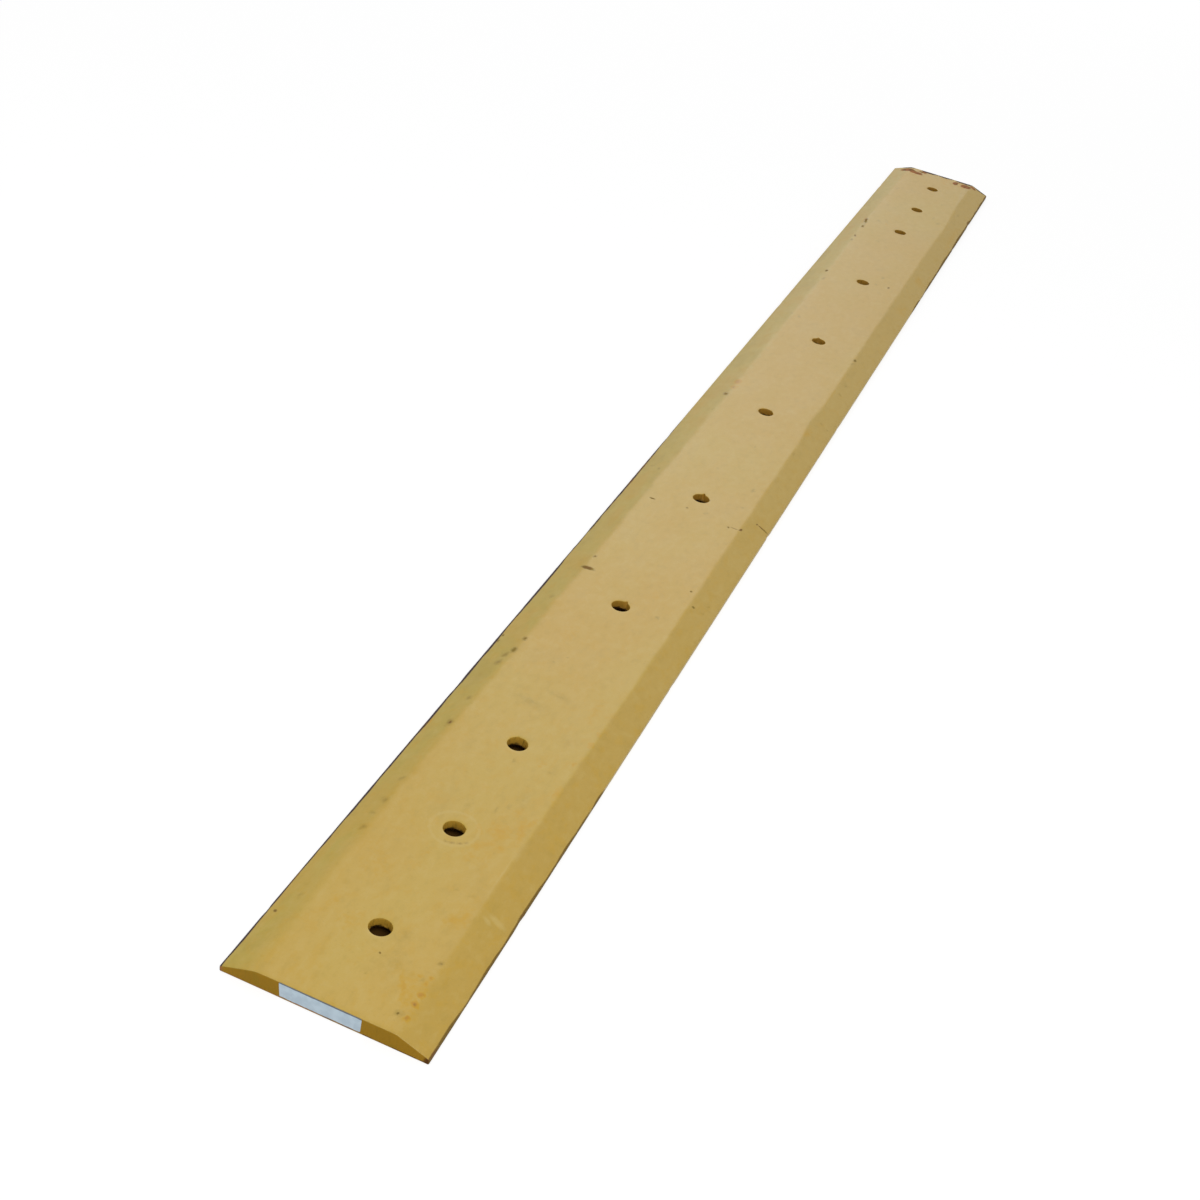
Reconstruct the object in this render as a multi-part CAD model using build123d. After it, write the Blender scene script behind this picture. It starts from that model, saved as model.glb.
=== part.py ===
from build123d import *
import math
import os

# A double-bevel cutting edge for an earthmover's bucket or blade, lying on its wide face.
# X runs along the edge, Y across it and Z up. The origin is the middle of the wide face.
# All sizes are in millimetres.

# The rolled section, seen from one end
width = 203.2
thickness = 19.05
nose_height = 6.35
bevel_width = 33.0
ridge_radius = 10.0
nose_radius = 1.5

# The row of bolt holes along the middle
hole_pitch = 304.8
wide_spaces = 6
close_pitch = 152.4
close_spaces = 2
end_distance = 101.6

# One bolt hole: a round bore from the bevelled side, a square neck, a cone for the bolt's head
bore_diameter = 22.2
bore_depth = 9.5
neck_square = 21.4
neck_corner_radius = 1.6
head_diameter = 36.5
head_angle = 80.0

# The paper label on one end face
label_length = 80.0
label_thickness = 0.25
label_corner_radius = 1.5
label_offset = 4.0
label_top_margin = 0.5
label_foot_margin = 1.9

# Cuts run this far past the face they open
cut_overrun = 1.0

# Worked out from the sizes above
length = hole_pitch * wide_spaces + 2 * (close_pitch * close_spaces + end_distance)
end_face = -length / 2
bore_floor = thickness - bore_depth
label_height = thickness - label_top_margin - label_foot_margin


def section():
    """The end-on outline: a wide flat foot, two blunt noses, two bevels and the narrow flat on top."""
    nose = width / 2
    ridge = nose - bevel_width
    outline = Polyline(
        (-nose, 0),
        (nose, 0),
        (nose, nose_height),
        (ridge, thickness),
        (-ridge, thickness),
        (-nose, nose_height),
        close=True,
    )
    face = make_face(outline)
    noses = [v for v in face.vertices() if abs(v.X) > (nose + ridge) / 2]
    face = fillet(noses, radius=nose_radius)
    ridges = [v for v in face.vertices() if v.Y > thickness - nose_radius / 2]
    return fillet(ridges, radius=ridge_radius)


def hole_stations():
    """Where the holes stand along X: wide spaces in the middle, close ones towards both ends."""
    middle = [hole_pitch * (i - wide_spaces / 2) for i in range(wide_spaces + 1)]
    outer = [middle[-1] + close_pitch * (i + 1) for i in range(close_spaces)]
    return [-x for x in reversed(outer)] + middle + outer


def bolt_hole():
    """What one hole takes out, standing on the wide face at the origin.

    The bolt's head sits in the cone on the wide face, its square neck keeps it from turning,
    and its thread comes out of the round bore on the bevelled side.
    """
    slope = math.tan(math.radians(head_angle / 2))
    head_depth = (head_diameter - neck_square) / 2 / slope
    from_below = (Align.CENTER, Align.CENTER, Align.MIN)
    head = Cone(
        bottom_radius=head_diameter / 2 + cut_overrun * slope,
        top_radius=neck_square / 2,
        height=head_depth + cut_overrun,
        align=from_below,
    )
    neck = extrude(RectangleRounded(neck_square, neck_square, neck_corner_radius), bore_floor + cut_overrun)
    bore = Cylinder(bore_diameter / 2, bore_depth + cut_overrun, align=from_below)
    return Pos(0, 0, -cut_overrun) * (head + neck) + Pos(0, 0, bore_floor) * bore


def cutting_edge():
    """The section carried along the whole length, with every hole cut through it."""
    across = Plane(origin=(0, 0, 0), x_dir=(0, 1, 0), z_dir=(1, 0, 0))
    bar = extrude(across * section(), length / 2, both=True)
    return bar - [Pos(x, 0, 0) * bolt_hole() for x in hole_stations()]


def end_label():
    """The label: a thin sheet with rounded corners, stuck flat on the end face."""
    sheet = RectangleRounded(label_length, label_height, label_corner_radius)
    outward = Plane(
        origin=(end_face, label_offset, label_foot_margin + label_height / 2),
        x_dir=(0, -1, 0),
        z_dir=(-1, 0, 0),
    )
    return extrude(outward * sheet, label_thickness)


os.makedirs("parts", exist_ok=True)
export_step(cutting_edge(), "parts/cutting_edge.step")
export_step(end_label(), "parts/end_label.step")
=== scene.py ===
import math

import bpy
import numpy as np
from mathutils import Matrix, Vector


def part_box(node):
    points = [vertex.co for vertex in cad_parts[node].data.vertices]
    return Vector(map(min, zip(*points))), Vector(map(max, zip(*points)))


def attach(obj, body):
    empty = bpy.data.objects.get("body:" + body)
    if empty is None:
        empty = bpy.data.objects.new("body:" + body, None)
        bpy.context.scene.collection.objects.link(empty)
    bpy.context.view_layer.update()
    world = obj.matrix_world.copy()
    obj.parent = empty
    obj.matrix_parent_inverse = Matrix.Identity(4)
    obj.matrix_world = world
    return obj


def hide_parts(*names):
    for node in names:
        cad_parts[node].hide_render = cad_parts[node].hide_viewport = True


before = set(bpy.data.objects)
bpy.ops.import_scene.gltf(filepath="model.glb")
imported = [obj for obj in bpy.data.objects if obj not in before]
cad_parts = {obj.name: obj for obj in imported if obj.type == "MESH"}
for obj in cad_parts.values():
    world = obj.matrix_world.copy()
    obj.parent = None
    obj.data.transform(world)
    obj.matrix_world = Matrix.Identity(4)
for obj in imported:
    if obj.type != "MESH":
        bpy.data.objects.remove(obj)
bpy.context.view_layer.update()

# The cutting edge: one length of rolled double-bevel steel, sawn off at both ends and pierced for
# eleven plow bolts. Each hole is a round bore on the bevelled side, then a square neck, then a cone
# for the bolt's head in the wide face that the edge lies on. The steel has one coat of yellow paint.
MM = 0.001
steel_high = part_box("cutting_edge")[1]
half_length = steel_high[0] / MM
half_width = steel_high[1] / MM
thickness = steel_high[2] / MM

nose_height = 6.35
bevel_width = 33.0
nose_radius = 1.5
nose_land_foot = 1.6
end_rounding = 0.6

# How soft the ridges are, how far they wander, and how uneven the faces and noses are
ridge_blend = 0.22
left_ridge_wear = 1.1
ridge_wander = 1.2
left_ridge_wander = 4.5
slow_dip = 0.1
short_dip = 0.06
foot_rise = 0.12
nose_wear = 0.35

hole_pitch = 304.8
close_pitch = 152.4
bore_radius = 11.1
bore_depth = 9.5
bore_floor = thickness - bore_depth
rim_rounding = 0.45
neck_half = 10.7
neck_corner = 1.6
head_radius = 18.25
head_slope = math.tan(math.radians(40))

# How far the ridges stray from their straight lines towards the noses, by place along the edge
left_ridge_places = [-1320, -1220, -1000, -700, -450, 0, 600, 930, 1100, 1320]
left_ridge_strays = [0, 3, 3, 1, -1, -3, -1, 3, 1, 0]
right_ridge_places = [-1320, -1000, -700, -350, -50, 20, 90, 440, 880, 1000, 1180, 1320]
right_ridge_strays = [0, 0, 2, 1, 1, -3, 1, -1, -1, 1, -4, -2]

# Shallow blows along the left ridge and on the flat: place, place, radius and depth
blows = [
    (-1296, 67, 8, 0.3), (-1283, 68, 7, 0.26), (-1265, 70, 8, 0.3), (-1243, 73, 7, 0.26),
    (-1225, 76, 8, 0.22), (-1087, 30, 12, 0.1), (-1062, -32, 14, 0.14), (-1030, -55, 16, 0.12),
    (-955, 33, 15, 0.1), (-620, 74, 14, 0.14), (-345, 54, 9, 0.2), (-238, -55, 12, 0.12),
    (22, 68, 9, 0.2), (66, 65, 9, 0.18), (275, -70, 9, 0.2), (601, 69, 10, 0.2), (815, 70, 12, 0.2),
]

# Nicks along the noses: place, side, length and depth
nicks = [
    (-1130, -1, 14, 0.5), (-1243, 1, 10, 0.5), (-845, 1, 22, 0.8), (-480, 1, 40, 0.7),
    (-312, -1, 9, 0.9), (-150, 1, 18, 0.5), (60, -1, 16, 0.5), (430, 1, 20, 0.6), (700, -1, 24, 0.5),
    (1120, -1, 26, 0.8), (1180, 1, 18, 0.6), (960, -1, 14, 0.5), (-700, -1, 12, 0.4),
]

# Small tears at the rims of some bores: hole, turn in degrees, and reach past the bore
tears = [
    (1, -60, 0.8), (2, 20, 1.0), (3, -15, 3.4), (4, 0, 4.2), (5, -30, 0.9), (6, 15, 3.6),
    (8, 140, 1.4), (9, 40, 1.2),
]


def eased(x, places, values):
    """A smooth line through the given values, level at each place, and flat past both ends."""
    places, values = np.array(places, float), np.array(values, float)
    k = np.clip(np.searchsorted(places, x) - 1, 0, len(places) - 2)
    t = np.clip((x - places[k]) / (places[k + 1] - places[k]), 0, 1)
    return values[k] + (values[k + 1] - values[k]) * t * t * (3 - 2 * t)


def ripple(x, y, wavelength, seed):
    """An uneven sheet between 0 and 1: seven sine waves of nearly one length, each with a heading and
    a phase of its own, added up."""
    draw = np.random.default_rng(seed)
    total = np.zeros(np.broadcast(x, y).shape)
    for heading, phase, stretch in zip(*draw.uniform((0, 0, 0.7), (math.tau, math.tau, 1.5), (7, 3)).T):
        across = x * math.cos(heading) + y * math.sin(heading)
        total = total + np.sin(across * math.tau / (wavelength * stretch) + phase)
    return 0.5 + total / 14


def ridge_inset(x, y):
    """How far in from the nose the bevel ends, on the side that y is on."""
    left_stray = eased(x, left_ridge_places, left_ridge_strays)
    right_stray = eased(x, right_ridge_places, right_ridge_strays)
    left_stray = left_stray + left_ridge_wander * (ripple(x, y * 0, 42, 29) - 0.5)
    wander = ridge_wander * (ripple(x, y * 0, 90, 3) - 0.5)
    return bevel_width - np.where(y > 0, left_stray, right_stray) + wander


def top_height(x, y):
    """Height of the bevelled side: the flat or the bevel, whichever is lower, blended over the ridge
    by a hyperbola that is wider on the more worn left side, less a slow unevenness and the blows."""
    bevel = nose_height + (half_width - abs(y)) * (thickness - nose_height) / ridge_inset(x, y)
    middle, gap = (thickness + bevel) / 2, (bevel - thickness) / 2
    blend = ridge_blend + np.where(y > 0, left_ridge_wear, 0) * ripple(x, y * 0, 60, 27)
    height = middle - np.sqrt(gap**2 + blend**2)
    height = height - slow_dip * ripple(x, y * 1.6, 210, 5) - short_dip * ripple(x, y, 48, 7)
    for blow_x, blow_y, radius, depth in blows:
        away = ((x - blow_x) ** 2 + (y - blow_y) ** 2) / radius**2
        height = height - depth * np.exp(-2 * away)
    return height


def foot_height(x, y):
    """Height of the wide face: nearly flat, with a slow unevenness upwards."""
    return foot_rise * ripple(x, y, 160, 11)


# Rows along the edge: sixteen even ones over each hole's block, wider ones between the blocks
wide_row = hole_pitch * np.arange(-3, 4)
close_row = hole_pitch * 3 + close_pitch * np.arange(1, 3)
hole_row = np.concatenate([-close_row[::-1], wide_row, close_row])
block = 24.0
block_steps = 16
near_step, far_step = 3.9, 5.6

ends = np.array([-1, 1]) * (half_length - end_rounding)
cuts = np.sort(np.concatenate([hole_row - block, hole_row + block, ends]))
rows = [cuts[:1]]
for start, stop in zip(cuts[:-1], cuts[1:]):
    step = near_step + (far_step - near_step) * (start + half_length) / (2 * half_length)
    count = block_steps if abs(stop - start - 2 * block) < 0.1 else round((stop - start) / step)
    rows.append(np.linspace(start, stop, count + 1)[1:])
rows = np.concatenate(rows)
block_rows = np.searchsorted(rows, hole_row - block - 0.01)

# The sawn ends: a quarter round leads from the faces into each end
quarter = np.linspace(0, math.pi / 2, 4)[1:]
lead = end_rounding * np.sin(quarter)
end_inset = end_rounding * (1 - np.cos(quarter))
inset = np.concatenate([end_inset[::-1], np.zeros(len(rows)), end_inset])
rows = np.concatenate([(rows[0] - lead)[::-1], rows, rows[-1] + lead])
block_rows = block_rows + len(quarter)

# Columns across: block, flat, ridge and bevel on each side, close together where the ridge is
flat_share = np.linspace(0, 1, 7)[1:]
ridge_share = np.linspace(-1, 1, 6)[1:]
bevel_share = np.linspace(0, 1, 6)[1:]
ridge_half = 5.0
nose_turns = np.radians([69, 46, 23, 0, -30, -60, -90])


def half_columns(x, side):
    """Distances from the middle line out to where the nose begins, for every row: even steps over the
    block and the flat, a close band that follows the ridge, and even steps down the bevel."""
    ridge = (half_width - ridge_inset(x, np.full_like(x, side)))[:, None]
    nose = half_width - nose_radius * (1 - math.cos(nose_turns[0]))
    inner = np.linspace(0, block, block_steps // 2 + 1) + 0 * ridge
    flat = block + (ridge - ridge_half - block) * flat_share
    band = ridge + ridge_half * ridge_share
    bevel = ridge + ridge_half + (nose - ridge - ridge_half) * bevel_share
    return np.concatenate([inner, flat, band, bevel], axis=1)


left, right = half_columns(rows, 1), half_columns(rows, -1)
across = np.concatenate([-right[:, ::-1], left[:, 1:]], axis=1)
columns = across.shape[1]
along = rows[:, None] + 0 * across
block_column = (columns - 1) // 2 - block_steps // 2


def nose_line(x, side):
    """The blunt nose of every row: an arc off the bevel, an upright land and an arc into the foot."""
    worn = np.zeros_like(x)
    for place, nick_side, nick_length, depth in nicks:
        if nick_side == side:
            worn = worn + depth * np.exp(-((2 * (x - place) / nick_length) ** 2))
    worn = worn + nose_wear * ripple(x, x * 0, 70, 13 + side) * ripple(x, x * 0, 17, 17 + side)
    start = half_width - nose_radius * (1 - math.cos(nose_turns[0]))
    top = top_height(x, np.full_like(x, side * start))[:, None]
    reach = half_width - worn[:, None] - nose_radius * (1 - np.cos(nose_turns))
    upper = top - nose_radius * (math.sin(nose_turns[0]) - np.sin(nose_turns))
    lower = nose_radius * (1 + np.sin(nose_turns))
    land = (top + nose_land_foot) / 2
    height = np.where(nose_turns > 0.01, upper, np.where(nose_turns < -0.01, lower, land))
    return side * reach, height


# The closed section of every row: bevelled side, left nose, foot and right nose
left_y, left_z = nose_line(rows, 1)
right_y, right_z = nose_line(rows, -1)
foot_across = across.copy()
foot_across[:, 0], foot_across[:, -1] = right_y[:, -1], left_y[:, -1]
foot_z = foot_height(along, foot_across)
foot_z[:, 0] = foot_z[:, -1] = 0
loop_y = np.concatenate([across, left_y[:, 1:-1], foot_across[:, ::-1], right_y[:, -2:0:-1]], axis=1)
top_z = top_height(along, across)
loop_z = np.concatenate([top_z, left_z[:, 1:-1], foot_z[:, ::-1], right_z[:, -2:0:-1]], axis=1)
nose_points = len(nose_turns) - 2
around = loop_y.shape[1]

# Near the ends each section shrinks inwards by its row's inset, square to its own outline
tangent_y = np.roll(loop_y, -1, 1) - np.roll(loop_y, 1, 1)
tangent_z = np.roll(loop_z, -1, 1) - np.roll(loop_z, 1, 1)
tangent = np.hypot(tangent_y, tangent_z)
loop_y = loop_y + inset[:, None] * tangent_z / tangent
loop_z = loop_z - inset[:, None] * tangent_y / tangent
body = np.stack([rows[:, None] + 0 * loop_y, loop_y, loop_z], axis=-1)

steel_points = [body.reshape(-1, 3)]
steel_quads = []
point_count = body.shape[0] * around


def quads_between(grid, wrap):
    """Four corners a face for a grid of point numbers, running on from its last column to its first
    where it wraps."""
    if wrap:
        grid = np.concatenate([grid, grid[..., :1]], axis=-1)
    corners = [grid[..., :-1, :-1], grid[..., 1:, :-1], grid[..., 1:, 1:], grid[..., :-1, 1:]]
    return np.stack(corners, axis=-1)


body_grid = np.arange(point_count).reshape(-1, around)
body_quads = quads_between(body_grid, wrap=True)
kept = np.ones(body_quads.shape[:2], bool)
foot_column = columns + nose_points + (columns - 1 - block_column - block_steps)
for row in block_rows:
    kept[row:row + block_steps, block_column:block_column + block_steps] = False
    kept[row:row + block_steps, foot_column:foot_column + block_steps] = False
steel_quads.append(body_quads[kept])


def neck_reach(turn):
    """Distance from the bolt's line to the square neck's wall: the flats, with an arc at each corner."""
    near = np.minimum(abs(np.cos(turn)), abs(np.sin(turn)))
    far = np.maximum(abs(np.cos(turn)), abs(np.sin(turn)))
    centre = neck_half - neck_corner
    along_turn = centre * (near + far)
    arc = along_turn + np.sqrt(np.maximum(along_turn**2 - 2 * centre**2 + neck_corner**2, 0))
    return np.where(neck_half * near / far <= centre, neck_half / far, arc)


# Every hole: rings from the square edge of its block on top, down the bore, neck and cone, and out
# to the block's edge on the foot. The rings all have the same 64 turns.
turns = 4 * block_steps
leg, way = np.divmod(np.arange(turns), block_steps)
step_x = np.choose(leg, [way, block_steps, block_steps - way, 0])
step_y = np.choose(leg, [0, way, block_steps, block_steps - way])
turn = np.arange(turns) * math.tau / turns - 3 * math.pi / 4
square = np.stack([step_x, step_y]) * 2 * block / block_steps - block
circle = np.stack([np.cos(turn), np.sin(turn)])
neck = neck_reach(turn)
cone_top = (head_radius - neck) / head_slope

# Each stretch of rings lies at these shares of its way. The face dips a little towards the rim, and
# the step from the bore to the neck is a narrow slope.
top_shares = (0.16, 0.32, 0.48, 0.64, 0.8, 0.92, 1.0)
rim_bends = np.radians([30, 60, 90])
bore_shares = (0.25, 0.55, 0.8, 1.0)
cone_shares = (0.0, 0.25, 0.5, 0.75, 0.97)
foot_shares = (0.02, 0.3, 0.65)
rim_dip = 0.18
dip_start = 0.8
rim_waver = 0.12
tear_spread = 0.13
step_slope = 0.25
cone_rim_gap = 0.25


def rim_reach(number, centre_x):
    """How far one bore's rim lies from the bolt's line: the bore's radius, a bell-shaped reach for each
    tear, and a slight waver."""
    torn = np.zeros(turns)
    for torn_hole, torn_turn, tear in tears:
        if torn_hole == number:
            off = np.angle(np.exp(1j * (turn - math.radians(torn_turn))))
            torn = torn + tear * np.exp(-((off / tear_spread) ** 2))
    return bore_radius + torn + rim_waver * ripple(10 * circle[0], 10 * circle[1] + centre_x, 9, 19)


def hole_rings(centre_x, rim):
    """The rings of one hole: each blends evenly, by its share, from the outline above it to the one
    below, and the rim is a quarter round between the face and the bore."""
    rings = []
    for share in top_shares:
        x, y = square * (1 - share) + circle * share * (rim + rim_rounding)
        dip = rim_dip * max(share - dip_start, 0) / (1 - dip_start)
        rings.append((x, y, top_height(centre_x + x, y) - dip))
    edge = rings[-1][2]
    for bend in rim_bends:
        reach = rim + rim_rounding * (1 - math.sin(bend))
        rings.append((*(circle * reach), edge - rim_rounding * (1 - math.cos(bend))))
    for share in bore_shares:
        reach = rim * (1 - share) + bore_radius * share
        height = (edge - rim_rounding) * (1 - share) + (bore_floor + step_slope) * share
        rings.append((*(circle * reach), height))
    rings.append((*(circle * neck), np.full(turns, bore_floor - step_slope)))
    rings.append((*(circle * neck), (bore_floor - step_slope + cone_top) / 2))
    for share in cone_shares:
        reach = neck * (1 - share) + head_radius * share
        rings.append((*(circle * reach), cone_top * (1 - share)))
    for share in foot_shares:
        x, y = square * share + circle * (1 - share) * (head_radius + cone_rim_gap)
        rings.append((x, y, foot_height(centre_x + x, y)))
    rings = np.array(rings)
    rings[:, 0] += centre_x
    return rings.transpose(0, 2, 1)


hole_points = np.array([hole_rings(x, rim_reach(number, x)) for number, x in enumerate(hole_row)])
ring_count = hole_points.shape[1]
steel_points.append(hole_points.reshape(-1, 3))
top_edge = body_grid[block_rows[:, None] + step_x, block_column + step_y]
foot_edge = body_grid[block_rows[:, None] + step_x, foot_column + block_steps - step_y]
ring_numbers = point_count + np.arange(hole_points[..., 0].size).reshape(hole_points.shape[:3])
hole_grid = np.concatenate([top_edge[:, None], ring_numbers, foot_edge[:, None]], axis=1)
hole_quads = quads_between(hole_grid, wrap=True)[..., ::-1]
steel_quads.append(hole_quads)
point_count += ring_numbers.size

# The bands of faces from just below the rim down to the cone's mouth are the inside of a hole
bands = np.arange(ring_count + 1)
first_inside = len(top_shares) + len(rim_bends)
in_hole = (bands >= first_inside) & (bands <= ring_count - len(foot_shares))

# The two end faces: each column of the section runs straight down from the top to the foot
drop = np.linspace(0, 1, nose_points + 2)[1:-1, None, None]
for row in (0, len(rows) - 1):
    top_side = body[row, :columns]
    foot_side = body[row, columns + nose_points:2 * columns + nose_points][::-1]
    face = top_side[1:-1] * (1 - drop) + foot_side[1:-1] * drop
    steel_points.append(face.reshape(-1, 3))
    face_numbers = point_count + np.arange(face[..., 0].size).reshape(face.shape[:2])
    point_count += face_numbers.size
    ring = body_grid[row]
    left_nose = ring[columns:columns + nose_points][:, None]
    right_nose = ring[:columns + nose_points + columns - 1:-1][:, None]
    middle = np.concatenate([right_nose, face_numbers, left_nose], axis=1)
    foot_numbers = ring[columns + nose_points:2 * columns + nose_points][::-1]
    grid = np.concatenate([ring[None, :columns], middle, foot_numbers[None]])
    end_quads = quads_between(grid, wrap=False)
    steel_quads.append(end_quads[..., ::-1] if row == 0 else end_quads)

# Which finish each face has: paint, the inside of a hole or a cut end
finish_numbers = [0, np.broadcast_to(in_hole[None, :, None], hole_quads.shape[:3]).ravel(), 2, 2]
steel_quads = [quads.reshape(-1, 4) for quads in steel_quads]
steel_finishes = np.concatenate([np.zeros(len(q), int) + n for q, n in zip(steel_quads, finish_numbers)])
steel_points = np.concatenate(steel_points)
steel_quads = np.concatenate(steel_quads)


def solid(name, points, quads, crease):
    """A smooth-shaded mesh from points in millimetres, with hard edges where faces turn by more than
    the crease angle."""
    mesh = bpy.data.meshes.new(name)
    mesh.from_pydata((points * MM).tolist(), [], quads.tolist())
    mesh.polygons.foreach_set("use_smooth", np.ones(len(quads), bool))
    mesh.set_sharp_from_angle(angle=math.radians(crease))
    piece = bpy.data.objects.new(name, mesh)
    bpy.context.collection.objects.link(piece)
    return piece


steel = solid("steel_edge", steel_points, steel_quads, crease=38)

# The bevels' colour differs from the flat's, partly as painted shade, and the line between them wanders
# more than the ridge
left_paint_places = [-1320, -1240, -1160, -1000, -880, -700, -450, -200, 0, 300, 600, 800, 930, 1320]
left_paint_strays = [8, 8, 11, 6, 4, 2, 1, 0, -4, -2, -3, 0, 4, 3]
right_paint_places = [-1320, -1000, -700, -350, -50, 20, 90, 440, 880, 1000, 1100, 1180, 1240, 1320]
right_paint_strays = [-2, 0, 2, 1, 1, -5, 2, -2, -2, 2, -1, -8, -14, -16]
points_x, points_y = steel_points[:, 0], steel_points[:, 1]
left_stray = eased(points_x, left_paint_places, left_paint_strays)
right_stray = eased(points_x, right_paint_places, right_paint_strays)
paint_line = half_width - bevel_width + np.where(points_y > 0, left_stray, right_stray)
distances = steel.data.attributes.new("past_line", "FLOAT", "POINT")
distances.data.foreach_set("value", abs(points_y) - paint_line)


class Finish:
    """One material being mixed. Each call adds a node and hands back what comes out of it, and every
    size is in millimetres on the object."""

    def __init__(self, name):
        self.material = bpy.data.materials.new(name)
        self.material.use_nodes = True
        self.tree = self.material.node_tree
        self.shader = self.tree.nodes["Principled BSDF"]
        place = self.add("TexCoord", {}, output="Object")
        self.place = self.add("VectorMath", {0: place, "Scale": 1 / MM}, operation="SCALE")
        self.x, self.y, self.z = (self.add("SeparateXYZ", {0: self.place}, output=k) for k in range(3))

    def add(self, kind, inputs, output=0, **options):
        """One node of the kind, with its inputs linked where they come from another node and set where
        they are plain values."""
        made = self.tree.nodes.new("ShaderNode" + kind)
        for option, value in options.items():
            setattr(made, option, value)
        for socket, value in inputs.items():
            if isinstance(value, bpy.types.NodeSocket):
                self.tree.links.new(value, made.inputs[socket])
            else:
                made.inputs[socket].default_value = value
        return made.outputs[output]

    def math(self, operation, a, b=0.0, c=0.0):
        """One step of arithmetic on up to three values."""
        return self.add("Math", {0: a, 1: b, 2: c}, operation=operation)

    def step(self, value, low, high, start=0.0, stop=1.0):
        """Eases from start to stop as the value goes from low to high."""
        limits = {"Value": value, "From Min": low, "From Max": high, "To Min": start, "To Max": stop}
        return self.add("MapRange", limits, interpolation_type="SMOOTHSTEP")

    def both(self, *values):
        """The product of several masks."""
        result = values[0]
        for value in values[1:]:
            result = self.math("MULTIPLY", result, value)
        return result

    def clouds(self, size, seed, detail=3.0, stretch=(1, 1, 1), rough=0.5):
        """Cloudy values about 0.5, in patches about as wide as the size."""
        share = tuple(1 / (size * s) for s in stretch)
        shift = (seed * 17.3, seed * 5.9, seed * 11.7)
        where = self.add("VectorMath", {0: self.place, 1: share, 2: shift}, operation="MULTIPLY_ADD")
        return self.add("TexNoise", {"Vector": where, "Scale": 1.0, "Detail": detail, "Roughness": rough})

    def blend(self, share, below, above):
        """The colour below with the colour above laid over it by that share."""
        colours = {0: share}
        for socket, colour in ((6, below), (7, above)):
            colours[socket] = colour if isinstance(colour, bpy.types.NodeSocket) else (*colour, 1.0)
        return self.add("Mix", colours, output=2, data_type="RGBA", clamp_factor=True)

    def warped(self, size, amount, seed):
        """The place on the object's plan, pushed about by clouds so that marks get uneven outlines."""
        share = tuple([1 / size] * 3)
        shift = (seed, seed, seed)
        reach = (2 * amount, 2 * amount, 2 * amount)
        where = self.add("VectorMath", {0: self.place, 1: share, 2: shift}, operation="MULTIPLY_ADD")
        push = self.add("TexNoise", {"Vector": where, "Scale": 1.0, "Detail": 2.0}, output="Color")
        push = self.add("VectorMath", {0: push, 1: (-0.5, -0.5, -0.5)}, operation="ADD")
        push = self.add("VectorMath", {0: push, 1: reach, 2: self.place}, operation="MULTIPLY_ADD")
        return self.add("VectorMath", {0: push, 1: (1, 1, 0)}, operation="MULTIPLY")

    def marks(self, where, spots, after=0.0):
        """The strongest of many ovals. Each has its place, length, width, turn in degrees and strength,
        and fades evenly from its middle to nothing at its edge. The renderer can hold only a few
        unfinished ovals at once, so the place handed to each dozen carries the total so far as its
        height, and thus waits for it. The ovals' great height keeps that from counting."""
        x_place, y_place = (self.add("SeparateXYZ", {0: where}, output=k) for k in range(2))
        total = 0.0
        waits_for = after
        for count, (x, y, length, width, degrees, strength) in enumerate(spots):
            if count % 12 == 0:
                where = self.add("CombineXYZ", {0: x_place, 1: y_place, 2: waits_for})
            oval = {
                "Vector": where,
                "Location": (x, y, 0),
                "Rotation": (0, 0, math.radians(degrees)),
                "Scale": (length / 2, width / 2, 1e6),
            }
            local = self.add("Mapping", oval, vector_type="TEXTURE")
            away = self.add("VectorMath", {0: local}, output="Value", operation="LENGTH")
            spot = self.math("MULTIPLY_ADD", away, -strength, strength)
            total = waits_for = self.math("MAXIMUM", spot, total)
        return total

    def worn(self, marks, cloud, depth, low, high, top):
        """The share of marks that a cloud has made ragged: nothing outside them, and up to the top
        share as their strength, moved up and down by the cloud, goes from low to high."""
        ragged = self.math("MULTIPLY_ADD", cloud, depth, self.math("ADD", marks, -depth / 2))
        return self.both(self.step(marks, 0.0, 0.12), self.step(ragged, low, high, 0.0, top))


# Yellow paint over the rolled steel: satin, a little uneven in thickness, greener on the left bevel,
# rusting at chips and along both noses. Both bevels are painted a little darker than the flat, the right
# one browner, as painted shade. The label end and the bevels are painted paler as a painted sheen, and the
# noses' dark lines are partly painted shade.
flat_paint = (0.522, 0.350, 0.050)
thin_paint = (0.527, 0.332, 0.042)
# Darker copies of the paint for the bevels: painted shade, with a real greener tone on the left one
green_shaded_paint = (0.475, 0.345, 0.048)
brown_shaded_paint = (0.495, 0.320, 0.052)
amber_paint = (0.535, 0.310, 0.012)
# Pale paint: real thin and scraped paint in the mottles and scrapes, and a painted sheen where it is laid
# over the label end and the bevels
pale_paint_and_sheen = (0.580, 0.430, 0.130)
orange_stain = (0.465, 0.220, 0.002)
olive_stain = (0.290, 0.200, 0.012)
smudge_brown = (0.290, 0.180, 0.004)
rust_brown = (0.160, 0.070, 0.010)
rust_red = (0.350, 0.120, 0.028)
purple_wear_and_shade = (0.040, 0.020, 0.022)
brown_wear_and_shade = (0.185, 0.105, 0.006)
dirt = (0.185, 0.122, 0.010)

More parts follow.
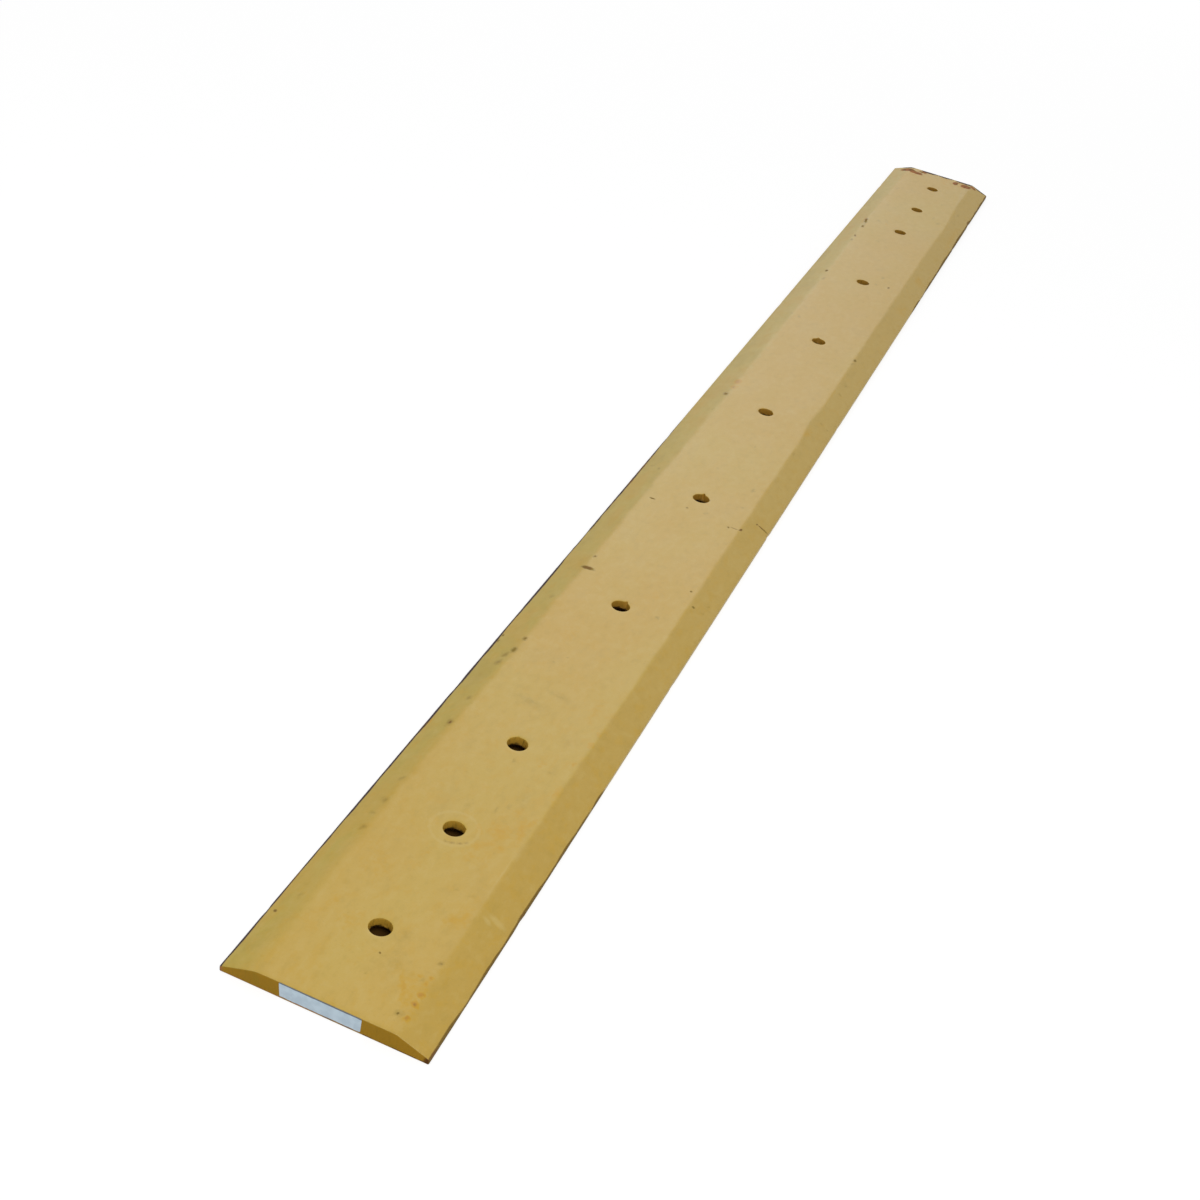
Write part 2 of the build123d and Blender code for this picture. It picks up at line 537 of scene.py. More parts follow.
paint = Finish("worn_yellow_paint")
upper_side = paint.step(paint.z, 2.0, 4.0)
past_line = paint.add("Attribute", {}, output="Fac", attribute_name="past_line")
left_side = paint.step(paint.y, -1.0, 1.0)
near_end = paint.step(paint.x, -1050, -1250)
ragged_line = paint.math("MULTIPLY_ADD", paint.clouds(26, seed=1), 9.0, past_line)
torn_line = paint.math("MULTIPLY_ADD", paint.clouds(14, seed=26, detail=4.0, rough=0.6), 16.0, -8.0)
ragged_line = paint.math("MULTIPLY_ADD", torn_line, left_side, ragged_line)
blur = paint.math("MULTIPLY_ADD", near_end, 14.0, paint.math("MULTIPLY", left_side, 3.5))
past_from = paint.math("SUBTRACT", 2.6, blur)
past_to = paint.math("ADD", 6.4, blur)
past = paint.step(ragged_line, past_from, past_to)

broad = paint.clouds(170, seed=2, detail=2.0, stretch=(2.2, 1, 1))
medium = paint.clouds(34, seed=3, detail=4.0, stretch=(1.8, 1, 1))
fine = paint.clouds(2.6, seed=4, detail=3.0, rough=0.65)
mottle = paint.clouds(11, seed=25, detail=5.0, stretch=(1.6, 1, 1), rough=0.6)
colour = paint.blend(paint.step(broad, 0.34, 0.66), flat_paint, thin_paint)
# Paler towards the label end: a painted sheen
colour = paint.blend(paint.math("MULTIPLY", near_end, 0.2), colour, pale_paint_and_sheen)
bevel_shade_and_sheen_colour = paint.blend(left_side, brown_shaded_paint, green_shaded_paint)
# The bevels turn paler from the label end to the middle and stay so: a painted sheen
bevel_shade_and_sheen_colour = paint.blend(paint.step(paint.x, -1200, -100, 0.0, 0.3), bevel_shade_and_sheen_colour, pale_paint_and_sheen)
bevel_mask = paint.both(past, upper_side, paint.step(medium, 0.25, 0.6, 0.6, 1.0))
colour = paint.blend(bevel_mask, colour, bevel_shade_and_sheen_colour)
left_patches = paint.clouds(30, seed=5, stretch=(3, 1, 1))
left_yellow = paint.step(left_patches, 0.48, 0.64, 0.0, 0.6)
left_olive = paint.step(left_patches, 0.47, 0.33, 0.0, 0.16)
colour = paint.blend(paint.both(past, left_side, left_yellow), colour, thin_paint)
colour = paint.blend(paint.both(past, left_side, left_olive), colour, olive_stain)
colour = paint.blend(paint.step(medium, 0.54, 0.74, 0.0, 0.10), colour, pale_paint_and_sheen)
colour = paint.blend(paint.step(medium, 0.46, 0.28, 0.0, 0.08), colour, olive_stain)
amber_share = paint.both(paint.step(mottle, 0.50, 0.66), paint.step(paint.x, -900, -200, 0.3, 0.2))
colour = paint.blend(amber_share, colour, amber_paint)
colour = paint.blend(paint.step(mottle, 0.46, 0.30, 0.0, 0.12), colour, pale_paint_and_sheen)
grain = paint.clouds(9, seed=28, detail=4.0, stretch=(1.5, 1, 1), rough=0.6)
colour = paint.blend(paint.step(grain, 0.50, 0.68, 0.0, 0.18), colour, pale_paint_and_sheen)
colour = paint.blend(paint.step(grain, 0.48, 0.32, 0.0, 0.11), colour, olive_stain)
colour = paint.blend(paint.step(fine, 0.60, 0.74, 0.0, 0.14), colour, pale_paint_and_sheen)
colour = paint.blend(paint.step(fine, 0.42, 0.28, 0.0, 0.10), colour, dirt)

# Soft stains where rust has bled through: amber at their edges, orange in the middle
soft = paint.warped(7, 4, seed=6)
stains = paint.marks(soft, [
    (-1301, -68, 11, 9, 0, 1.4), (-1284, -67, 12, 10, 20, 1.4), (-1271, -67, 13, 10, 0, 1.4),
    (-1258, -66, 10, 8, 0, 1.0), (-1250, -66, 10, 8, 0, 1.1), (-1253, -57, 9, 7, 0, 0.8),
    (-1284, -67, 28, 18, 0, 0.35), (-1266, -66, 34, 18, 0, 0.4), (-1278, -60, 80, 26, 20, 0.45),
    (-1272, -50, 56, 9, 28, 0.7), (-1178, -51, 18, 22, 60, 0.6), (-1170, -60, 50, 20, 0, 0.45),
    (-1225, 26, 40, 26, 0, 0.3), (-1210, 50, 36, 20, 0, 0.25), (-1145, 41, 60, 34, 30, 0.3),
    (-1110, 8, 50, 24, 0, 0.2), (-1073, -33, 44, 16, -40, 0.6), (-1046, -40, 30, 38, 10, 0.6),
    (-1035, -58, 60, 14, 10, 0.65), (-1068, -50, 20, 12, 0, 0.65), (-1056, -22, 24, 10, 30, 0.5),
    (-1096, -30, 36, 24, 0, 0.35), (-1020, -62, 26, 10, 0, 0.5), (-965, -66, 40, 12, 0, 0.45),
    (-1010, -44, 22, 14, 0, 0.45), (-930, -35, 16, 12, 0, 0.4), (-912, -64, 12, 8, 0, 0.7),
    (-873, -67, 14, 9, 0, 0.7), (-851, -67, 12, 7, 0, 0.7), (-820, -50, 60, 20, 0, 0.35),
    (-920, 98, 16, 6, 0, 0.9), (-700, 30, 80, 30, 0, 0.3), (-560, -30, 30, 18, 0, 0.4),
    (67, 66, 28, 16, 0, 1.5), (46, 66, 26, 14, 0, 1.1),
    (-313, -13, 14, 8, 0, 0.6), (-20, -72, 60, 14, 0, 0.4), (933, 33, 16, 6, 0, 0.7),
    (1277, -14, 24, 11, 20, 0.7), (1290, 60, 60, 26, 20, 0.7), (1296, -50, 50, 30, 0, 1.0),
    (1298, -10, 40, 30, 0, 0.5), (1240, 68, 90, 12, 0, 0.4), (710, -84, 60, 30, 10, 0.45),
    (560, -86, 80, 24, 0, 0.35), (930, 76, 70, 8, 0, 0.8), (1000, -90, 200, 12, 0, 0.35),
])
stain_cloud = paint.clouds(5, seed=7, detail=4.0)
stain_mask = paint.both(upper_side, paint.worn(stains, stain_cloud, 1.0, 0.0, 0.65, 0.9))
stain_colour = paint.blend(paint.step(stains, 0.4, 1.2), amber_paint, orange_stain)
colour = paint.blend(stain_mask, colour, stain_colour)

# Olive smudges on the flat, scuffs round some of the holes, and brown smudges along both ridges
smudges = paint.marks(soft, [
    (-1250, -30, 60, 50, 0, 0.25), (-1219, -24, 36, 24, 0, 0.35), (-1230, -66, 10, 8, 0, 0.7),
    (-1300, -60, 14, 12, 0, 0.6), (-1257, -60, 8, 6, 0, 0.5), (-1274, -14, 6, 5, 0, 0.5),
    (-1218, 82, 14, 10, 0, 0.5), (-1111, 76, 15, 13, 0, 0.65), (-1087, 77, 13, 11, 0, 0.5),
    (-1064, 76, 15, 12, 0, 0.65), (-1027, 77, 15, 11, 0, 0.55), (-1140, -38, 10, 8, 0, 0.4),
    (-1140, -54, 10, 8, 0, 0.35), (-920, 76, 22, 13, 0, 0.8), (-1020, -23, 22, 7, 0, 0.4),
    (-1010, -33, 22, 7, 0, 0.4), (-1030, 3, 14, 10, 0, 0.4),
    (-990, -40, 50, 24, 10, 0.3), (-942, -8, 10, 6, 0, 0.6), (-880, -45, 50, 40, 0, 0.22),
    (-938, -48, 10, 24, 10, 0.3), (-842, 16, 26, 84, -10, 0.35), (-840, 14, 16, 36, -10, 0.4),
    (-815, -8, 20, 46, -10, 0.42), (-553, -87, 10, 6, 0, 0.4), (-794, 77, 17, 12, 0, 0.9),
    (-776, 77, 17, 12, 0, 0.9), (-870, 77, 14, 10, 0, 0.7), (-637, 78, 16, 9, 0, 0.5),
    (-533, -89, 10, 6, 0, 0.4), (-96, -71, 16, 8, 0, 0.45),
    (-607, -46, 12, 8, 0, 0.6), (-760, 24, 10, 6, 0, 0.5), (-743, 14, 8, 6, 0, 0.5),
    (-338, -18, 14, 9, 0, 0.5), (-291, -56, 12, 8, 0, 0.5), (-238, -53, 20, 9, 0, 0.6),
    (-261, 76, 16, 7, 20, 0.7), (-251, 89, 14, 6, 20, 0.5), (-211, 7, 12, 6, 0, 0.4),
    (-116, -19, 16, 7, 0, 0.4), (-43, 69, 14, 6, 0, 0.5), (32, -80, 12, 6, 0, 0.5),
    (27, -92, 14, 6, 0, 0.5), (45, 66, 16, 9, 0, 0.6), (147, -79, 14, 7, 0, 0.6),
    (182, -79, 18, 8, 0, 0.5), (262, -69, 18, 7, 0, 0.6), (380, 69, 26, 8, 0, 0.5),
    (376, 54, 18, 8, 0, 0.5), (570, 64, 24, 9, 0, 0.6), (619, -22, 16, 9, 0, 0.5),
    (660, -26, 20, 8, 0, 0.5), (800, 69, 22, 7, 10, 0.9), (830, 26, 14, 18, 0, 0.45),
    (940, 50, 16, 16, 0, 0.4), (1049, -38, 24, 9, 0, 0.4), (1025, -52, 26, 12, 0, 0.45),
    (1140, -36, 20, 8, 0, 0.4), (1116, -76, 22, 8, 0, 0.5), (1160, 62, 30, 12, 0, 0.4),
], after=stains)
smudge_mask = paint.both(upper_side, paint.worn(smudges, stain_cloud, 0.5, 0.0, 0.9, 0.85))
smudge_side = paint.step(paint.math("ABSOLUTE", paint.y), 55, 65)
colour = paint.blend(smudge_mask, colour, paint.blend(smudge_side, olive_stain, smudge_brown))

# Dark chips, scratches and streaks that go through the paint
sharp = paint.warped(3, 1.2, seed=8)
chips = paint.marks(sharp, [
    (-1300, -59, 5, 4, 0, 1.0), (-1247, -14, 4, 4, 0, 0.9), (-1243, 93, 7, 5, 40, 1.0),
    (-1301, -67, 5, 4, 0, 0.3), (-1284, -67, 5, 4, 0, 0.3), (-1230, -67, 6, 5, 0, 0.4),
    (-1088, -1, 8, 12, 0, 0.28), (-1087, -7, 8, 12, 5, 0.34), (-1083, -14, 8, 12, 35, 0.34),
    (-1079, -19, 8, 12, 50, 0.28), (-1130, -101, 16, 5, 0, 1.0), (-920, 75, 10, 6, 0, 0.6),
    (-764, 71, 19, 12, 0, 0.65), (-738, 69, 15, 10, 0, 0.6), (-440, 100, 60, 6, 0, 1.0),
    (-557, 64, 11, 25, -5, 1.1), (-528, 66, 9, 8, 0, 0.7), (-747, 97, 12, 5, 0, 0.7),
    (-733, 97, 9, 5, 0, 0.7), (-527, -62, 6, 5, 0, 0.9), (-555, -75, 7, 6, 0, 0.9),
    (-348, 55, 6, 12, 0, 1.0), (-350, -62, 3, 24, 0, 0.6),
    (-341, 8, 8, 5, 0, 0.6), (-352, -54, 7, 5, 0, 0.8), (-347, -70, 10, 5, -20, 1.0),
    (-311, -83, 7, 5, 0, 0.9), (-312, -92, 4, 22, -8, 1.2), (-303, -12, 8, 5, 0, 0.5),
    (18, 69, 22, 13, 20, 0.6),
    (278, -69, 17, 8, 0, 0.8), (612, 69, 16, 7, 0, 1.0), (621, -45, 15, 7, 0, 0.7),
    (825, 69, 26, 8, 12, 0.6), (885, 69, 30, 11, 0, 0.6), (920, 71, 60, 12, 8, 0.65),
    (1120, -101, 44, 10, 0, 1.2), (1000, -101, 60, 4, 0, 0.7), (960, -101, 24, 4, 0, 0.8),
], after=smudges)
chip_mask = paint.both(upper_side, paint.worn(chips, stain_cloud, 0.6, 0.05, 0.65, 0.85))
chip_colour = paint.blend(paint.step(paint.clouds(14, seed=9), 0.42, 0.6), dirt, rust_brown)
colour = paint.blend(chip_mask, colour, chip_colour)

# Pale scrapes, where something was dragged over the right bevel and the flat, and a pale ring that
# something round has pressed about the second bore
scrapes = paint.marks(sharp, [
    (-1152, -86, 12, 30, -12, 1.2), (-1158, -78, 10, 18, -30, 1.0), (-905, -43, 60, 44, 10, 0.3),
    (-1100, -66, 120, 4, 0, 0.6), (-960, -20, 30, 8, 20, 0.3), (-700, -20, 60, 10, 10, 0.25),
], after=chips)
ring_middle = (hole_row[1], 0, thickness)
ring_radius = 24.0
ring_reach = paint.add("VectorMath", {0: paint.place, 1: ring_middle}, output="Value", operation="DISTANCE")
ring_off = paint.math("ABSOLUTE", paint.math("SUBTRACT", ring_reach, ring_radius))
pale_ring = paint.step(paint.math("MULTIPLY_ADD", stain_cloud, 4.0, ring_off), 5.0, 2.0, 0.0, 0.3)
scrape_mask = paint.math("MAXIMUM", paint.step(scrapes, 0.1, 0.9, 0.0, 0.55), pale_ring)
scrape_mask = paint.both(upper_side, scrape_mask)
colour = paint.blend(scrape_mask, colour, pale_paint_and_sheen)

# The noses: a dark line with rust in it, partly worn steel and partly painted shade along the edge. The
# left one has it from the near end to the middle, and the right one only towards both ends.
nose_band = 2.4
nose_out = paint.math("SUBTRACT", paint.math("ABSOLUTE", paint.y), half_width - nose_band)
nose_cloud = paint.clouds(16, seed=10, detail=4.0, stretch=(3, 1, 1))
nose_line_ragged = paint.math("MULTIPLY_ADD", nose_cloud, 5.0, paint.math("ADD", nose_out, -2.5))
left_line_shift = paint.step(paint.x, 200, -300, -2.4, 2.5)
left_line_shift = paint.math("ADD", left_line_shift, paint.step(paint.x, -900, -1250, 0.0, -1.0))
near_right = paint.step(paint.x, -950, -850, 1.0, -2.4)
right_line_shift = paint.math("ADD", near_right, paint.step(paint.x, 250, 900, 0.0, 4.2))
nose_line_shift = paint.add("Mix", {0: left_side, 2: right_line_shift, 3: left_line_shift})
nose_wear_and_shade_mask = paint.step(paint.math("ADD", nose_line_ragged, nose_line_shift), 1.5, 2.7)
# The noses' dark line colours: worn, rusty steel and partly painted shade along the edge
nose_wear_and_shade_colour = paint.blend(left_side, brown_wear_and_shade, purple_wear_and_shade)
nose_rust = paint.step(paint.clouds(22, seed=11, stretch=(2, 1, 1)), 0.56, 0.7)
nose_wear_and_shade_colour = paint.blend(nose_rust, nose_wear_and_shade_colour, rust_brown)
colour = paint.blend(nose_wear_and_shade_mask, colour, nose_wear_and_shade_colour)

# The far end's edge has rusted in streaks, and dark steel shows along its arris
far_cloud = paint.clouds(9, seed=12, detail=5.0)
far_place = paint.warped(8, 3, seed=13)
far_streaks = paint.marks(far_place, [
    (1301, 70, 24, 38, 0, 1.4), (1293, 50, 22, 34, 0, 1.4), (1308, 40, 16, 26, 0, 0.8),
    (1300, -34, 32, 14, 0, 1.2), (1298, -56, 28, 28, 0, 1.4), (1308, -70, 16, 20, 0, 0.9),
], after=scrapes)
far_mask = paint.both(upper_side, paint.worn(far_streaks, far_cloud, 0.8, 0.05, 0.5, 0.95))
far_colour = paint.blend(paint.step(far_cloud, 0.36, 0.54), rust_brown, rust_red)
colour = paint.blend(far_mask, colour, far_colour)
arris_marks = paint.marks(far_place, [
    (1319, 72, 15, 40, 0, 0.9), (1319, 27, 20, 50, 0, 1.3), (1319, -8, 18, 44, 0, 1.1),
    (1319, -50, 20, 50, 0, 1.3), (1320, -84, 16, 44, 0, 1.1),
], after=far_streaks)
arris_mask = paint.both(upper_side, paint.worn(arris_marks, far_cloud, 0.5, 0.15, 0.5, 0.9))
colour = paint.blend(arris_mask, colour, purple_wear_and_shade)

# Sound paint is satin, and everything that has worn through it is dull
bare = paint.math("MAXIMUM", chip_mask, nose_wear_and_shade_mask)
bare = paint.math("MAXIMUM", bare, paint.math("MAXIMUM", far_mask, arris_mask))
roughness = paint.step(medium, 0.3, 0.7, 0.415, 0.445)
roughness = paint.math("MULTIPLY_ADD", fine, 0.10, paint.math("ADD", roughness, -0.05))
roughness = paint.math("MAXIMUM", roughness, paint.step(bare, 0.2, 0.8, 0.3, 0.85))


def finish_off(finish, colour, roughness, height):
    """Joins a finish's colour, roughness and height in millimetres to its shader."""
    bump = finish.add("Bump", {"Strength": 1.0, "Distance": MM, "Height": height}, output="Normal")
    for socket, value in (("Base Color", colour), ("Roughness", roughness), ("Normal", bump)):
        finish.tree.links.new(value, finish.shader.inputs[socket])


skin = paint.math("MULTIPLY", paint.clouds(7, seed=15, detail=3.0), 0.10)
skin = paint.math("MULTIPLY_ADD", paint.clouds(2.6, seed=4, detail=1.0), 0.035, skin)
finish_off(paint, colour, roughness, skin)

# The holes: paint has run down the bore; it is painted brighter in the holes near the label end and darker
# further on, as painted light and shade. The neck and cone below it are bare and rusty, and their
# near-black colour is partly painted shade deep in the hole.
hole = Finish("bolt_hole_steel")
hole_cloud = hole.clouds(4, seed=14, detail=4.0)
paint_edge = hole.math("MULTIPLY_ADD", hole_cloud, 6.0, hole.z)
# Near black: bare steel, and partly painted shade deep in the hole
dark_steel_and_shade = (0.085, 0.040, 0.004)
bare_steel_and_shade = hole.blend(hole.step(hole_cloud, 0.5, 0.7), dark_steel_and_shade, rust_brown)
# The bore's paint, brighter near the label end and darker further on: painted light and shade
lit_bore_paint = (0.600, 0.360, 0.040)
shaded_bore_paint = (0.450, 0.235, 0.026)
bore_colour = hole.blend(hole.step(hole.x, -1150, -300), lit_bore_paint, shaded_bore_paint)
hole_colour = hole.blend(hole.step(paint_edge, 15.5, 10.0), bore_colour, bare_steel_and_shade)
runs = hole.clouds(3, seed=16, stretch=(1, 1, 3))
hole_colour = hole.blend(hole.step(runs, 0.5, 0.75, 0.0, 0.6), hole_colour, dirt)
hole_roughness = hole.step(paint_edge, 15.5, 10.0, 0.5, 0.85)
tool_rings = hole.math("MULTIPLY", hole.clouds(1.5, seed=17, stretch=(6, 6, 1)), 0.12)
finish_off(hole, hole_colour, hole_roughness, tool_rings)

# The cut ends: paint darker and oranger than on the faces, a painted shade, over the cut's upright drag
# lines. The near one is rusty at its tips and along its foot, and the far one has lost much of its paint to
# rust.
end = Finish("cut_end_paint")
# Darker and oranger than the faces' paint: painted shade on the cut ends
shaded_end_paint = (0.400, 0.212, 0.010)
tip_brown = (0.420, 0.190, 0.055)
tip_dark = (0.120, 0.045, 0.008)
end_cloud = end.clouds(9, seed=12, detail=5.0)
drag = end.clouds(1.6, seed=18, detail=2.0, stretch=(1, 1, 9))
end_colour = end.blend(end.step(end.clouds(25, seed=19), 0.35, 0.65, 0.0, 0.15), shaded_end_paint, dirt)
end_colour = end.blend(end.step(drag, 0.45, 0.3, 0.0, 0.2), end_colour, dirt)
end_colour = end.blend(end.step(end.clouds(12, seed=30), 0.52, 0.68, 0.0, 0.3), end_colour, olive_stain)
tip = end.math("SUBTRACT", end.math("ABSOLUTE", end.y), half_width)
tip_worn = end.step(end.math("MULTIPLY_ADD", end_cloud, 10.0, tip), -1.0, 3.0)
foot_worn = end.both(end.step(end.z, 1.9, 1.2), end.step(end_cloud, 0.44, 0.52))
far_worn = end.both(end.step(end.x, 0, 1), end.step(end_cloud, 0.52, 0.40))
worn_mask = end.math("MAXIMUM", end.math("MAXIMUM", tip_worn, foot_worn), far_worn)
end_rust = end.blend(end.step(drag, 0.4, 0.6), rust_brown, rust_red)
near_face = end.step(end.x, 0, -1)
end_rust = end.blend(end.both(end.step(end.y, 0, -1), near_face), end_rust, tip_dark)
end_rust = end.blend(end.both(end.step(end.y, 0, 1), near_face), end_rust, tip_brown)
end_colour = end.blend(worn_mask, end_colour, end_rust)
finish_off(end, end_colour, end.step(worn_mask, 0.0, 1.0, 0.6, 0.85), end.math("MULTIPLY", drag, 0.12))
end.shader.inputs["Specular IOR Level"].default_value = 0.12

for finish in (paint, hole, end):
    steel.data.materials.append(finish.material)
steel.data.polygons.foreach_set("material_index", steel_finishes)
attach(steel, "root")
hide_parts("cutting_edge")

# The label: a strip of thin white paper with rounded corners, stuck on the near end face. It is bare,
# follows the saw marks under it, and its upper edge has lifted a little; the dark line along that edge is
# partly dirt and partly a painted shadow of the lifted edge.
label_low, label_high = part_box("end_label")
label_middle = [(a + b) / 2 / MM for a, b in zip(label_low, label_high)]
label_half_length = (label_high[1] - label_low[1]) / 2 / MM
label_half_height = (label_high[2] - label_low[2]) / 2 / MM
label_corner = 1.5
label_slant = 2.0
paper_thickness = 0.12
paper_lift = 0.11

u = np.linspace(-1, 1, 81)
v = np.concatenate([[-1, -0.99, -0.96, -0.91], np.linspace(-0.82, 0.82, 13), [0.91, 0.96, 0.99, 1]])
u, v = np.meshgrid(u, v)


def paper_sheet(u, v, back):
    """One side of the strip: each row is as long as the rounded outline lets it be at that height, less
    the slant at which the left edge was cut, and the paper rises off the steel in slow waves, most
    along its top edge."""
    past_straight = abs(v) * label_half_height - (label_half_height - label_corner)
    into_corner = np.clip(past_straight / label_corner, 0, 1)
    half = label_half_length - label_corner * (1 - np.sqrt(1 - into_corner**2))
    short = label_slant * (1 - v) / 2 * (1 + u) / 2
    y = label_middle[1] + u * half - short
    z = label_middle[2] + v * label_half_height
    x = label_high[0] / MM + 0 * y
    if not back:
        x = x - paper_thickness - paper_lift * ripple(y, z, 23, 23) * (0.35 + 0.65 * np.clip(v, 0, 1) ** 2)
    return np.stack([x, y, z], axis=-1)


front, back = paper_sheet(u, v, False), paper_sheet(u, v, True)
front_grid = np.arange(front[..., 0].size).reshape(front.shape[:2])
back_grid = front_grid + front_grid.size
foot_rim, left_rim = front_grid[0], front_grid[1:, -1]
top_rim, right_rim = front_grid[-1, -2::-1], front_grid[-2:0:-1, 0]
front_rim = np.concatenate([foot_rim, left_rim, top_rim, right_rim])
rim_grid = np.stack([front_rim, front_rim + front_grid.size])
label_points = np.concatenate([front.reshape(-1, 3), back.reshape(-1, 3)])
label_quads = [
    quads_between(front_grid, wrap=False),
    quads_between(back_grid, wrap=False)[..., ::-1],
    quads_between(rim_grid, wrap=True)[..., ::-1],
]
label_quads = np.concatenate([quads.reshape(-1, 4) for quads in label_quads])
label = solid("end_label_paper", label_points, label_quads, crease=40)

paper = Finish("label_paper")
paper_white = (0.630, 0.770, 0.870)
paper_grey = (0.540, 0.670, 0.770)
paper_dirt_and_shadow = (0.080, 0.090, 0.100)
paper_rust = (0.300, 0.130, 0.060)
fibre = paper.clouds(1.1, seed=21, detail=3.0, stretch=(1, 3, 1))
sheet_colour = paper.blend(paper.step(paper.clouds(9, seed=22), 0.35, 0.65), paper_white, paper_grey)
sheet_colour = paper.blend(paper.step(fibre, 0.55, 0.75, 0.0, 0.15), sheet_colour, paper_grey)
top_line = paper.math("MULTIPLY_ADD", paper.clouds(7, seed=23, detail=4.0), 1.2, paper.z)
label_top, label_foot = label_high[2] / MM, label_low[2] / MM
# A dark line along the top edge: partly dirt, partly a painted shadow of the lifted edge
top_dirt_and_shadow = paper.step(top_line, label_top - 1.3, label_top - 0.5, 0.0, 0.9)
sheet_colour = paper.blend(top_dirt_and_shadow, sheet_colour, paper_dirt_and_shadow)
foot_line = paper.math("MULTIPLY_ADD", paper.clouds(5, seed=24, detail=4.0), -1.6, paper.z)
foot_dirt = paper.step(foot_line, label_foot + 0.1, label_foot - 0.7, 0.0, 0.8)
sheet_colour = paper.blend(foot_dirt, sheet_colour, paper_rust)
finish_off(paper, sheet_colour, paper.step(fibre, 0.3, 0.7, 0.5, 0.62), paper.math("MULTIPLY", fibre, 0.02))

label.data.materials.append(paper.material)
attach(label, "root")
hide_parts("end_label")

# The floor: a plain pale studio floor that stays white to the camera and keeps the soft shadow. Under the
# steel lies a dark brown sheet, a painted shade, which only the bolt holes show. Sizes here are in metres.
floor_size = 60.0
floor_gap = 0.0003
under_inset = 0.03
under_half_width = 0.06
shadow_share = 0.3
floor_glow = 1.12
floor_grey = (0.62, 0.62, 0.62)
floor_white = (0.95, 0.95, 0.95)
painted_shade_brown = (0.075, 0.034, 0.006)


def floor_sheet(name, half_x, half_y, z):
    """A level rectangle about the origin, in metres."""
    mesh = bpy.data.meshes.new(name)
    corners = [(-half_x, -half_y, z), (half_x, -half_y, z), (half_x, half_y, z), (-half_x, half_y, z)]
    mesh.from_pydata(corners, [], [(0, 1, 2, 3)])
    sheet = bpy.data.objects.new(name, mesh)
    bpy.context.collection.objects.link(sheet)
    return sheet


def seen(tree):
    """1 for what the camera, a mirror or a glass sees, and 0 for what only lights the object."""
    rays = tree.nodes.new("ShaderNodeLightPath").outputs
    share = rays["Is Camera Ray"]
    for ray in ("Is Glossy Ray", "Is Transmission Ray"):
        most = tree.nodes.new("ShaderNodeMath")
        most.operation = "MAXIMUM"
        tree.links.new(share, most.inputs[0])
        tree.links.new(rays[ray], most.inputs[1])
        share = most.outputs[0]
    return share


floor = floor_sheet("floor", floor_size, floor_size, -floor_gap)
floor_material = bpy.data.materials.new("pale_floor")
floor_material.use_nodes = True
floor_tree = floor_material.node_tree
floor_tree.nodes.clear()
grey = floor_tree.nodes.new("ShaderNodeBsdfDiffuse")
grey.inputs["Color"].default_value = (*floor_grey, 1)
white = floor_tree.nodes.new("ShaderNodeBsdfDiffuse")
white.inputs["Color"].default_value = (*floor_white, 1)
glow = floor_tree.nodes.new("ShaderNodeEmission")
glow.inputs["Strength"].default_value = floor_glow
shown = floor_tree.nodes.new("ShaderNodeMixShader")
shown.inputs[0].default_value = shadow_share
floor_tree.links.new(glow.outputs[0], shown.inputs[1])
floor_tree.links.new(white.outputs[0], shown.inputs[2])
floor_mix = floor_tree.nodes.new("ShaderNodeMixShader")
floor_tree.links.new(seen(floor_tree), floor_mix.inputs[0])
floor_tree.links.new(grey.outputs[0], floor_mix.inputs[1])
floor_tree.links.new(shown.outputs[0], floor_mix.inputs[2])
floor_output = floor_tree.nodes.new("ShaderNodeOutputMaterial")
floor_tree.links.new(floor_mix.outputs[0], floor_output.inputs[0])
floor.data.materials.append(floor_material)

under_half_length = half_length * MM - under_inset
# A dark sheet just under the steel: painted shade, seen through the bolt holes
under = floor_sheet("painted_shade_under_steel", under_half_length, under_half_width, -floor_gap / 2)
under_material = bpy.data.materials.new("painted_shade_floor")
under_material.use_nodes = True
under_shader = under_material.node_tree.nodes["Principled BSDF"]
under_shader.inputs["Base Color"].default_value = (*painted_shade_brown, 1)
under_shader.inputs["Roughness"].default_value = 0.9
under_shader.inputs["Specular IOR Level"].default_value = 0.1
under.data.materials.append(under_material)

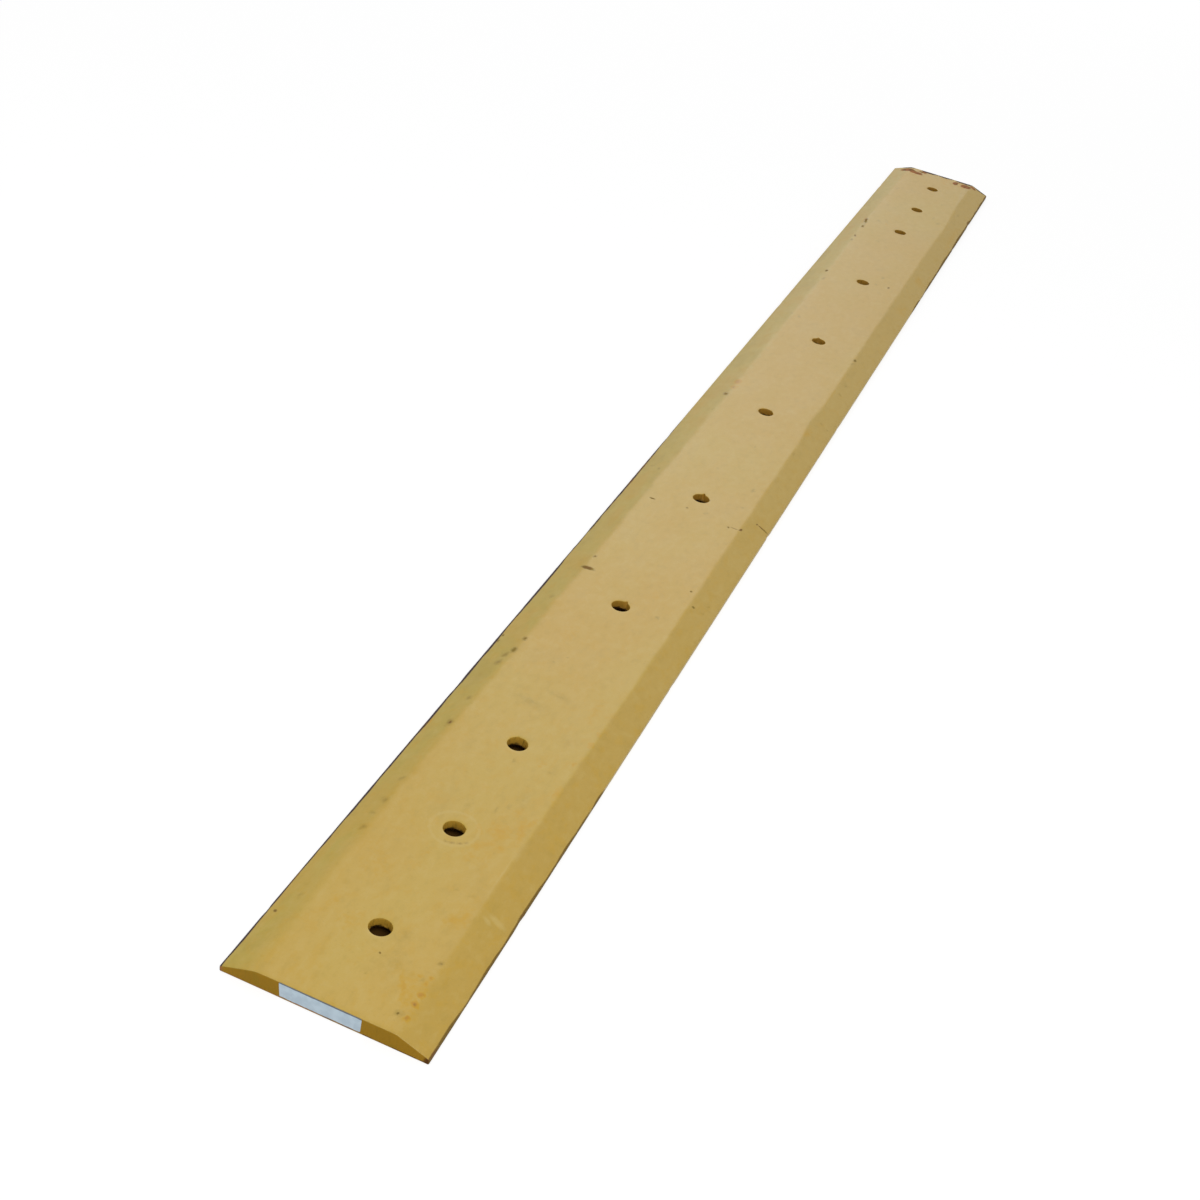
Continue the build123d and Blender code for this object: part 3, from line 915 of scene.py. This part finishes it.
# The light: a plain even surround, a soft panel high over the label end, and a high wide window
# beyond the far end that puts the pale sheen on the flat.
even_strength = 0.71
backdrop_strength = 0.84
world = bpy.data.worlds.new("surround")
bpy.context.scene.world = world
world.use_nodes = True
world_tree = world.node_tree
world_tree.nodes.clear()
even = world_tree.nodes.new("ShaderNodeBackground")
even.inputs["Strength"].default_value = even_strength
backdrop = world_tree.nodes.new("ShaderNodeBackground")
backdrop.inputs["Strength"].default_value = backdrop_strength
world_mix = world_tree.nodes.new("ShaderNodeMixShader")
world_tree.links.new(seen(world_tree), world_mix.inputs[0])
world_tree.links.new(even.outputs[0], world_mix.inputs[1])
world_tree.links.new(backdrop.outputs[0], world_mix.inputs[2])
world_output = world_tree.nodes.new("ShaderNodeOutputWorld")
world_tree.links.new(world_mix.outputs[0], world_output.inputs[0])


def soft_panel(name, place, aim, width, height, watts):
    """A rectangular light at a place, turned to face the aim, in metres."""
    data = bpy.data.lights.new(name, "AREA")
    data.shape = "RECTANGLE"
    data.size, data.size_y, data.energy = width, height, watts
    panel = bpy.data.objects.new(name, data)
    panel.location = place
    panel.rotation_euler = (Vector(aim) - Vector(place)).to_track_quat("-Z", "Y").to_euler()
    bpy.context.collection.objects.link(panel)


soft_panel("near_panel", (-2.4, -0.8, 2.7), (-2.4, 0, 0), width=1.8, height=2.3, watts=38)
soft_panel("far_window", (8.3, 2.4, 5.7), (-0.4, 0, 0), width=3.8, height=5.3, watts=170)

# The camera: a little left-leaning hand-held view from beyond the label end, looking along the edge
lens = 50.25
camera_place = Vector((-2.2186, -0.3938, 1.1212))
camera_aim = Vector((-0.6136, 0.0254, 0.01905))
camera_roll = 12.48

camera_data = bpy.data.cameras.new("camera")
camera_data.sensor_fit = "HORIZONTAL"
camera_data.sensor_width = 36.0
camera_data.lens = lens
camera_data.clip_start, camera_data.clip_end = 0.01, 200
camera = bpy.data.objects.new("camera", camera_data)
ahead = (camera_aim - camera_place).normalized()
level = ahead.cross(Vector((0, 0, 1))).normalized()
turned = Matrix.Rotation(math.radians(camera_roll), 3, -ahead)
right_hand = turned @ level
upward = right_hand.cross(ahead)
axes = Matrix((right_hand, upward, -ahead)).transposed()
camera.matrix_world = Matrix.Translation(camera_place) @ axes.to_4x4()
bpy.context.collection.objects.link(camera)
bpy.context.scene.camera = camera
bpy.context.scene.view_settings.view_transform = "Standard"
